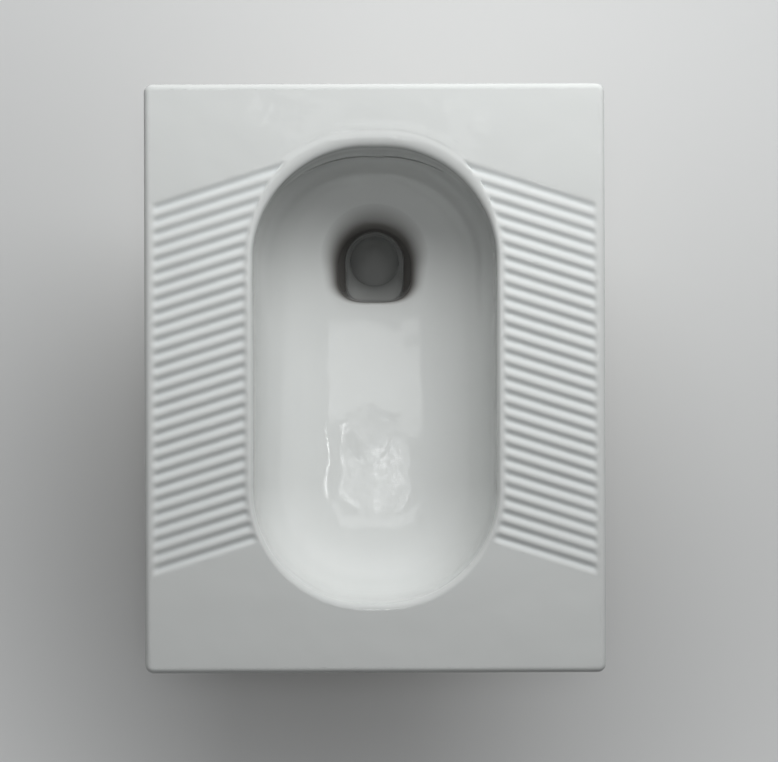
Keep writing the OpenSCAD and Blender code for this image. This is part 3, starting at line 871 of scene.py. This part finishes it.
def bowl_inner(pan, ray):
    """Inside of the bowl and its throat on a ray, from the collar down."""
    path = wall_rows(pan, ray)
    mouth, edge, slope, drop = ease(pan, ray, 0, pan.bowl.ease, pan.bowl.ease_tilt)
    start = path[-1].to_2d()
    for k in range(1, MORPH_STEPS + 1):
        path.append(bowl_point(pan, start.lerp(mouth, (k / MORPH_STEPS) ** MORPH_POWER), 0))
    below = throat_point(pan, ray.hole_angle, edge.z - drop, 0)
    leave = edge + slope * (drop * 0.5)
    path += curve(edge, leave, below + Vector((0, 0, drop * 0.55)), below, EASE_STEPS)
    for k in range(1, THROAT_STEPS + 1):
        path.append(throat_point(pan, ray.hole_angle, mix(below.z, THROAT_SEAM_Z, k / THROAT_STEPS), 0))
    return path


def bowl_outer(pan, ray):
    """Outside of the bowl and its throat on a ray, from the throat's end up."""
    grow = pan.bowl.wall
    top, bottom = slot_falls(pan, ray, grow)
    mouth, edge, slope, drop = ease(pan, ray, grow, OUTER_EASE, OUTER_EASE_TILT)
    foot = wall_point(pan, ray, OUTER_FALLS[0], grow).to_2d()
    below = throat_point(pan, ray.hole_angle, edge.z - drop, grow)
    path = [throat_point(pan, ray.hole_angle, mix(THROAT_SEAM_Z, below.z, k / 2), grow) for k in range(3)]
    path += curve(below, below + Vector((0, 0, drop * 0.5)), edge + slope * (drop * 0.5), edge, 5)
    steps = OUTER_MORPH_STEPS
    path += [bowl_point(pan, mouth.lerp(foot, k / steps), grow) for k in range(1, steps + 1)]
    path += [wall_point(pan, ray, fall, grow) for fall in OUTER_FALLS[1:]]
    path += [wall_point(pan, ray, mix(top, bottom, share), grow) for share in reversed(SLOT_ROWS)]
    return path + [wall_point(pan, ray, top * share, grow) for share in (0.6, 0.25, 0.0)]


def pierce_slot(bm, pan, all_rings):
    """Cuts the flush slot through the wall's two sides, joins their edges and rounds them."""
    level = bm.faces.layers.int["level"]
    half = pan.bowl.slot_w / 2
    inner_levels = range(len(LIP_ROWS) + 1, len(LIP_ROWS) + len(SLOT_ROWS))
    outer_levels = range(all_rings - 2 - len(SLOT_ROWS), all_rings - 3)
    gone = []
    for face in bm.faces:
        if face[level] in inner_levels or face[level] in outer_levels:
            if all(abs(v.co.x) < half and v.co.y > pan.bowl.hole_y for v in face.verts):
                gone.append(face)
    bmesh.ops.delete(bm, geom=gone, context="FACES")
    rims = [e for e in bm.edges if e.is_boundary]
    bmesh.ops.bridge_loops(bm, edges=rims)
    bmesh.ops.bevel(bm, geom=rims, offset=0.0007, affect="EDGES", segments=2, profile=0.5, material=-1)


class PAN_OT_bowl(bpy.types.Operator):
    """Glazed bowl with its flush slot, lip, waste hole and the start of the throat"""

    bl_idname = "pan.bowl"
    bl_label = "Bowl"

    def execute(self, context):
        pan = context.scene.pan
        rays = opening_rays(pan)
        inner = [bowl_inner(pan, ray) for ray in rays]
        outer = [bowl_outer(pan, ray) for ray in rays]
        rings = len(inner[0]) + len(outer[0])
        bm = loft([a + b for a, b in zip(inner, outer)], len(inner[0]))
        # Painted shade: from just above the hole's eased edge down into the throat the glaze is darkened
        # fully
        ease_ring = len(inner[0]) - THROAT_STEPS - EASE_STEPS
        mark_painted_shade(bm, lambda row: smooth(ease_ring - 3, ease_ring + 0.7 * EASE_STEPS, row))
        pierce_slot(bm, pan, rings)
        piece("glazed_bowl", bm, [white_glaze, thin_glaze], "glaze", "bowl")
        return {"FINISHED"}


# ------------------------ trap

TUBE_POINTS = 72
THROAT_POINTS = 96
TRAP_THROAT_STEPS = 28
BEND_STEPS = 30
LEG_STEP = 0.0015
FOOT_H = 0.002
WEIR_SHORT_LEG = 0.006
CROWN_WEB_HALF = 0.035
SEAL_GAP = 0.00015
SEAL_FINS = 4
# How much painted shade darkens the glaze of the trap, and the throat's rings over which that painted shade
# falls from full to that amount
TRAP_PAINTED_SHADE = 0.16
SHADE_FADE_RINGS = (5, 11)


def bead_at(trap, distance):
    """How far a joint's slip bead stands proud, at a distance from the joint."""
    return trap.bead * (1 - smooth(0.1, 1, distance / trap.bead_reach)) ** 0.8


def tube(trap, stations):
    """Tube with open ends through stations of (middle, direction across, distance to a joint)."""
    paths = []
    for k in range(TUBE_POINTS):
        a = math.tau * k / TUBE_POINTS
        inner, outer = [], []
        for middle, across, distance in stations:
            way = Vector((math.cos(a), 0, 0)) + across * math.sin(a)
            inner.append(middle + way * trap.bore_r)
            outer.append(middle + way * (trap.bore_r + trap.wall + bead_at(trap, distance)))
        paths.append(inner + outer[::-1])
    bm = loft(paths, len(stations))
    # Painted shade: the tube's glaze is darkened a little all through
    mark_painted_shade(bm, lambda row: TRAP_PAINTED_SHADE)
    return bm


def leg_stations(end, way, leg):
    """Stations of a straight leg that goes on from a bend's last station to a joint."""
    middle, across, _ = end
    count = max(2, round(leg / LEG_STEP))
    return [(middle + way * (leg * k / count), across, leg * (1 - k / count)) for k in range(1, count + 1)]


def half_bend(trap, y, z, side, first_leg, last_leg):
    """Stations of half a turn of tube round the point (y, z), below it or above it, with its two legs."""
    stations = []
    arc_length = math.pi * BEND_R
    for step in range(BEND_STEPS + 1):
        turn = math.pi * step / BEND_STEPS
        across = Vector((0, math.cos(turn), side * math.sin(turn)))
        middle = Vector((0, y, z)) + across * BEND_R
        gone = arc_length * turn / math.pi
        stations.append((middle, across, min(first_leg + gone, last_leg + arc_length - gone)))
    way = Vector((0, 0, -side))
    first = leg_stations(stations[0], way, first_leg)
    return first[::-1] + stations + leg_stations(stations[-1], way, last_leg)


class PAN_OT_trap_throat(bpy.types.Operator):
    """Throat of the trap, which turns the waste hole's outline into the round bore"""

    bl_idname = "pan.trap_throat"
    bl_label = "Trap throat"

    def execute(self, context):
        pan = context.scene.pan
        height = THROAT_SEAM_Z - BEND_SEAM_Z
        paths = []
        for k in range(THROAT_POINTS):
            turn = math.tau * k / THROAT_POINTS
            inner, outer = [], []
            for step in range(TRAP_THROAT_STEPS + 1):
                share = 0.5 - 0.5 * math.cos(math.pi * step / TRAP_THROAT_STEPS)
                z = mix(THROAT_SEAM_Z, BEND_SEAM_Z, share)
                low_bead = bead_at(pan.trap, height * (1 - share))
                top_bead = 0.7 * bead_at(pan.trap, height * share)
                inner.append(throat_point(pan, turn, z, 0))
                outer.append(throat_point(pan, turn, z, pan.trap.wall + low_bead + top_bead))
            paths.append(inner + outer[::-1])
        bm = loft(paths, TRAP_THROAT_STEPS + 1)
        # Painted shade: the throat's glaze is fully darkened at its top and eases to the trap's amount
        # further down
        mark_painted_shade(bm, lambda row: mix(1, TRAP_PAINTED_SHADE, smooth(*SHADE_FADE_RINGS, row)))
        piece("throat", bm, [white_glaze, thin_glaze], "glaze", "trap_throat")
        return {"FINISHED"}


class PAN_OT_trap_bend(bpy.types.Operator):
    """Bend of the trap, with the web between its legs and its foot pad"""

    bl_idname = "pan.trap_bend"
    bl_label = "Trap bend"

    def execute(self, context):
        pan = context.scene.pan
        trap = pan.trap
        y = BORE_Y - BEND_R
        z = BEND_R + trap.bore_r + trap.wall + FOOT_H
        leg = BEND_SEAM_Z - z
        bm = tube(trap, half_bend(trap, y, z, -1, leg, leg))
        reach = BEND_R - trap.bore_r - trap.wall / 2
        turns = [math.pi * (1 + k / 12) for k in range(13)]
        rim = [Vector((0, y + reach * math.cos(t), z + reach * math.sin(t))) for t in turns]
        plate(bm, rim, trap.wall, 0.0015)
        piece("bend", bm, [white_glaze, thin_glaze], "glaze", "trap_bend")
        piece("foot_pad", foot_pad(trap, y, z), [bare_clay], "glaze", "trap_bend")
        return {"FINISHED"}


def foot_pad(trap, y, z):
    """Pad under the bend, hollowed a little below and shaped above to the middle of the bend's wall."""
    half = trap.bore_r
    skin_r = trap.bore_r + trap.wall / 2
    below = ((0.02, 0.0016), (0.72, 0.0016), (0.76, 0.0012), (0.80, 0.0002), (0.84, 0), (0.95, 0))
    paths = []
    for k in range(TUBE_POINTS):
        a = math.tau * k / TUBE_POINTS
        c, s = math.cos(a), math.sin(a)

        def spot(share, height):
            return Vector((c * half * share, y + (math.copysign(half, s) + s * half) * share, height))

        def skin(share):
            p = spot(share, 0)
            spread = BEND_R + math.sqrt(max(0, skin_r**2 - p.x**2))
            return z - math.sqrt(spread**2 - (p.y - y) ** 2)

        path = [spot(share, height) for share, height in below]
        path += [spot(0.985, 0.0008), spot(1.0, 0.0025)]
        top = skin(1.0)
        path += [spot(1.0, mix(0.0025, top, step / 4)) for step in range(1, 5)]
        path += [spot(share, skin(share)) for share in (0.8, 0.6, 0.4, 0.2, 0.02)]
        paths.append(path)
    return loft(paths, capped=True)


class PAN_OT_trap_weir(bpy.types.Operator):
    """Weir of the trap: the inverted bend that sets the water's level, with its web to the bowl"""

    bl_idname = "pan.trap_weir"
    bl_label = "Trap weir"

    def execute(self, context):
        pan = context.scene.pan
        trap = pan.trap
        y = WEIR_Y
        z = OUTLET_SEAM_Z + WEIR_SHORT_LEG
        bm = tube(trap, half_bend(trap, y, z, 1, z - BEND_SEAM_Z, WEIR_SHORT_LEG))
        crown = BEND_R + trap.bore_r + trap.wall / 2
        places = [CROWN_WEB_HALF * (1 - k / 5) for k in range(11)]
        rim = [Vector((0, y + p, z + math.sqrt(crown**2 - p * p))) for p in places]
        for p in (-CROWN_WEB_HALF, CROWN_WEB_HALF):
            rim.append(Vector((0, y + p, TOP_Z - floor_at(pan, y + p) - pan.bowl.wall + 0.002)))
        plate(bm, rim, trap.wall, 0.0015)
        piece("weir", bm, [white_glaze, thin_glaze], "glaze", "trap_weir")
        return {"FINISHED"}


class PAN_OT_outlet(bpy.types.Operator):
    """Outlet spigot and the finned rubber seal round it"""

    bl_idname = "pan.outlet"
    bl_label = "Outlet"

    def execute(self, context):
        pan = context.scene.pan
        trap = pan.trap
        up = Vector((0, 0, 1))
        foot = Vector((0, OUTLET_Y, 0))
        wide = SPIGOT_HIGH.y - OUTLET_Y
        inside = wide - trap.spigot_wall
        narrow = trap.bore_r + trap.wall
        bead = narrow + trap.bead
        flare_z = trap.spigot_h + trap.spigot_flare
        corners = [
            (inside, 0, 0.003),
            (wide, 0, 0.003),
            (wide, trap.spigot_h, 0.008),
            (narrow, flare_z, 0.008),
            (narrow, OUTLET_SEAM_Z - trap.bead_reach, 0.003),
            (bead, OUTLET_SEAM_Z - 0.003, 0.003),
            (bead, OUTLET_SEAM_Z, 0),
            (trap.bore_r, OUTLET_SEAM_Z, 0),
            (trap.bore_r, flare_z, 0.006),
            (inside, trap.spigot_h, 0.006),
        ]
        piece("spigot", lathe(soften(corners), up, foot), [thin_glaze], "glaze", "outlet_spigot")
        low, high = OUTLET_SEAL_LOW.z, OUTLET_SEAL_HIGH.z
        seal_r = OUTLET_SEAL_HIGH.x
        root = seal_r - trap.fin
        bore = wide + SEAL_GAP
        corners = [(bore, low, 0.0008), (root - 0.001, low, 0.0012)]
        pitch = (high - low - 0.003) / SEAL_FINS
        for k in range(SEAL_FINS):
            z = low + 0.0015 + pitch * k
            corners += [(root, z, 0.0006), (seal_r, z + pitch * 0.42, 0.0005)]
            corners += [(seal_r, z + pitch * 0.56, 0.0004), (root, z + pitch * 0.72, 0.0006)]
        corners += [(root, high, 0.0012), (bore, high, 0.0008)]
        piece("drain_seal", lathe(soften(corners, 3), up, foot), [black_rubber], "seal", "outlet_seal")
        return {"FINISHED"}


class PAN_OT_inlet(bpy.types.Operator):
    """Inlet horn, the rubber seal in it and the flush box's clay"""

    bl_idname = "pan.inlet"
    bl_label = "Inlet"

    def execute(self, context):
        trap = context.scene.pan.trap
        back = Vector((0, 1, 0))
        root = Vector((0, HORN_LOW.y, (HORN_LOW.z + HORN_HIGH.z) / 2))
        outer = HORN_HIGH.x
        bore = outer - trap.horn_wall
        far = HORN_HIGH.y - HORN_LOW.y
        corners = [
            (bore, 0, 0),
            (outer + 0.0035, 0, 0.0004),
            (outer, 0.0045, 0.003),
            (outer, far, 0.0012),
            (bore, far, 0.0012),
        ]
        piece("horn", lathe(soften(corners), back, root), [bare_clay], "bisque", "inlet_horn")
        plug = INLET_SEAL_LOW.y - HORN_LOW.y
        face = INLET_SEAL_HIGH.y - HORN_LOW.y
        flange = INLET_SEAL_HIGH.x
        rib = bore - SEAL_GAP
        valley = rib - 0.0008
        loose = trap.pipe_r + 0.0015
        corners = [(flange, far, 0.0006), (flange, face, 0.0012)]
        corners += [(loose + 0.003, face, 0.0008), (loose, face - 0.0025, 0.0015)]
        for share in (0.30, 0.62):
            y = mix(face, plug, share)
            corners += [(loose, y + 0.0022, 0.0008), (trap.pipe_r, y, 0.0007), (loose, y - 0.0012, 0.0006)]
        corners += [(loose, plug, 0.0008), (rib - 0.0015, plug, 0.0010)]
        for share in (0.85, 0.60, 0.35):
            y = mix(far, plug, share)
            corners += [(valley, y - 0.0016, 0.0004), (rib, y, 0.0005), (valley, y + 0.0016, 0.0004)]
        corners += [(valley, far, 0)]
        piece("pipe_seal", lathe(soften(corners, 3), back, root), [black_rubber], "seal", "inlet_seal")
        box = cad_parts["flush_box"]
        box.data.materials.clear()
        box.data.materials.append(finish(bare_clay))
        return {"FINISHED"}


# ------------------------ stage

# Size of the photograph in pixels, a pixel's size on the deck, and the deck's middle in the photograph
PHOTO_W, PHOTO_H = 778, 762
PIXEL = 0.000930
DECK_MIDDLE = (374.8, 378.3)
CAMERA_RISE = 1.30
CAMERA_TURN = math.radians(-0.18)
ROOM_LIGHT = 0.04
LAMP_Z = 2.3
LAMP_WHITE = (0.985, 1.0, 0.997)
# Lamps that the glaze mirrors: x, y, width, length and radiance
SMALL_LAMPS = (
    (0.275, 0.02, 0.014, 0.28, 16.0),
    (0.032, 0.06, 0.008, 0.16, 14.0),
    (0.030, -0.14, 0.010, 0.18, 18.0),
    (-0.034, -0.02, 0.008, 0.34, 7.0),
    (-0.234, 0.659, 0.125, 0.024, 1.3),
    (0.195, 0.641, 0.114, 0.020, 1.2),
    (-0.116, 0.611, 0.137, 0.050, 0.6),
    (0.221, 0.578, 0.090, 0.062, 0.5),
)


def make_camera():
    """Camera straight above the pan, framed as the photograph is."""
    data = bpy.data.cameras.new("camera")
    data.sensor_width = 36
    data.lens = CAMERA_RISE / PIXEL * data.sensor_width / PHOTO_W
    data.shift_x = (PHOTO_W / 2 - DECK_MIDDLE[0]) / PHOTO_W
    data.shift_y = (DECK_MIDDLE[1] - PHOTO_H / 2) / PHOTO_W
    camera = bpy.data.objects.new("camera", data)
    camera.location = (0, 0, TOP_Z + CAMERA_RISE)
    camera.rotation_euler = (0, 0, CAMERA_TURN)
    bpy.context.scene.collection.objects.link(camera)
    bpy.context.scene.camera = camera


def make_floor():
    """Large plain floor under the pan."""
    bm = bmesh.new()
    bmesh.ops.create_grid(bm, x_segments=1, y_segments=1, size=6)
    mesh = bpy.data.meshes.new("floor")
    bm.to_mesh(mesh)
    bm.free()
    mesh.materials.append(finish(pale_stage))
    floor = bpy.data.objects.new("floor", mesh)
    bpy.context.scene.collection.objects.link(floor)


def make_room():
    """World: the pale backdrop, which gives little light."""
    world = bpy.data.worlds.new("studio")
    world.use_nodes = True
    room = Nodes(world.node_tree)
    dim = tuple(ROOM_LIGHT * c for c in (0.88, 0.90, 0.92))
    light = room.blend(dim, bpy.context.scene.pan.colours.backdrop, room.seen())
    room.fill(room.tree.nodes["Background"].inputs["Color"], light)
    bpy.context.scene.world = world
    bpy.context.scene.view_settings.view_transform = "Standard"


def add_lamp(name, place, aim, size, radiance, mirrored=True):
    """Rectangular lamp of a given brightness, which points from its place at aim.

    One that isn't mirrored lights the pan, but doesn't show in the glaze."""
    data = bpy.data.lights.new(name, "AREA")
    data.shape = "RECTANGLE"
    data.size, data.size_y = size
    data.energy = radiance * math.pi * size[0] * size[1]
    data.color = LAMP_WHITE
    lamp = bpy.data.objects.new(name, data)
    lamp.location = place
    lamp.rotation_euler = (Vector(aim) - Vector(place)).to_track_quat("-Z", "Y").to_euler()
    lamp.visible_glossy = mirrored
    bpy.context.scene.collection.objects.link(lamp)


def make_lamps():
    """Main lamp at the inlet end, a fill from above, and lamps above that the glaze mirrors."""
    add_lamp("inlet_side_lamp", (0.28, 1.0, 1.05), (0, 0.05, 0.25), (1.4, 0.8), 5.05, mirrored=False)
    add_lamp("overhead_fill", (0.0, 0.12, 2.35), (0, 0.12, 0), (0.5, 0.5), 5.7, mirrored=False)
    add_lamp("overhead_wide", (-0.017, 0.302, LAMP_Z), (-0.017, 0.302, 0), (0.50, 0.232), 1.4)
    add_lamp("overhead_narrow", (0.0, -0.035, LAMP_Z), (0, -0.035, 0), (0.06, 0.40), 1.0)
    for x, y, wide, long, radiance in SMALL_LAMPS:
        add_lamp("overhead_small", (x, y, LAMP_Z - 0.01), (x, y, 0), (wide, long), radiance)


class PAN_OT_stage(bpy.types.Operator):
    """Pale floor, studio lamps and the camera"""

    bl_idname = "pan.stage"
    bl_label = "Stage"

    def execute(self, context):
        make_camera()
        make_floor()
        make_room()
        make_lamps()
        return {"FINISHED"}


# ------------------------ add-on

PARTS = (
    PAN_OT_deck,
    PAN_OT_deck_webs,
    PAN_OT_bowl,
    PAN_OT_trap_throat,
    PAN_OT_trap_bend,
    PAN_OT_trap_weir,
    PAN_OT_outlet,
    PAN_OT_inlet,
    PAN_OT_stage,
)


class PAN_PT_panel(bpy.types.Panel):
    """Lists the pan's parts, sizes and colours"""

    bl_idname = "PAN_PT_panel"
    bl_label = "Squat pan"
    bl_space_type = "VIEW_3D"
    bl_region_type = "UI"
    bl_category = "Squat pan"

    def draw(self, context):
        pan = context.scene.pan
        for part in PARTS:
            self.layout.operator(part.bl_idname)
        for group in (pan.deck, pan.bowl, pan.trap, pan.colours):
            box = self.layout.box()
            for name in group.__annotations__:
                box.prop(group, name)


CLASSES = (DeckSizes, BowlSizes, TrapSizes, Colours, Pan) + PARTS + (PAN_PT_panel,)


def register():
    for cls in CLASSES:
        bpy.utils.register_class(cls)
    bpy.types.Scene.pan = PointerProperty(type=Pan)


def unregister():
    del bpy.types.Scene.pan
    for cls in reversed(CLASSES):
        bpy.utils.unregister_class(cls)


def main():
    register()
    for part in PARTS:
        getattr(bpy.ops.pan, part.bl_idname.split(".")[1])()


if __name__ == "__main__":
    main()
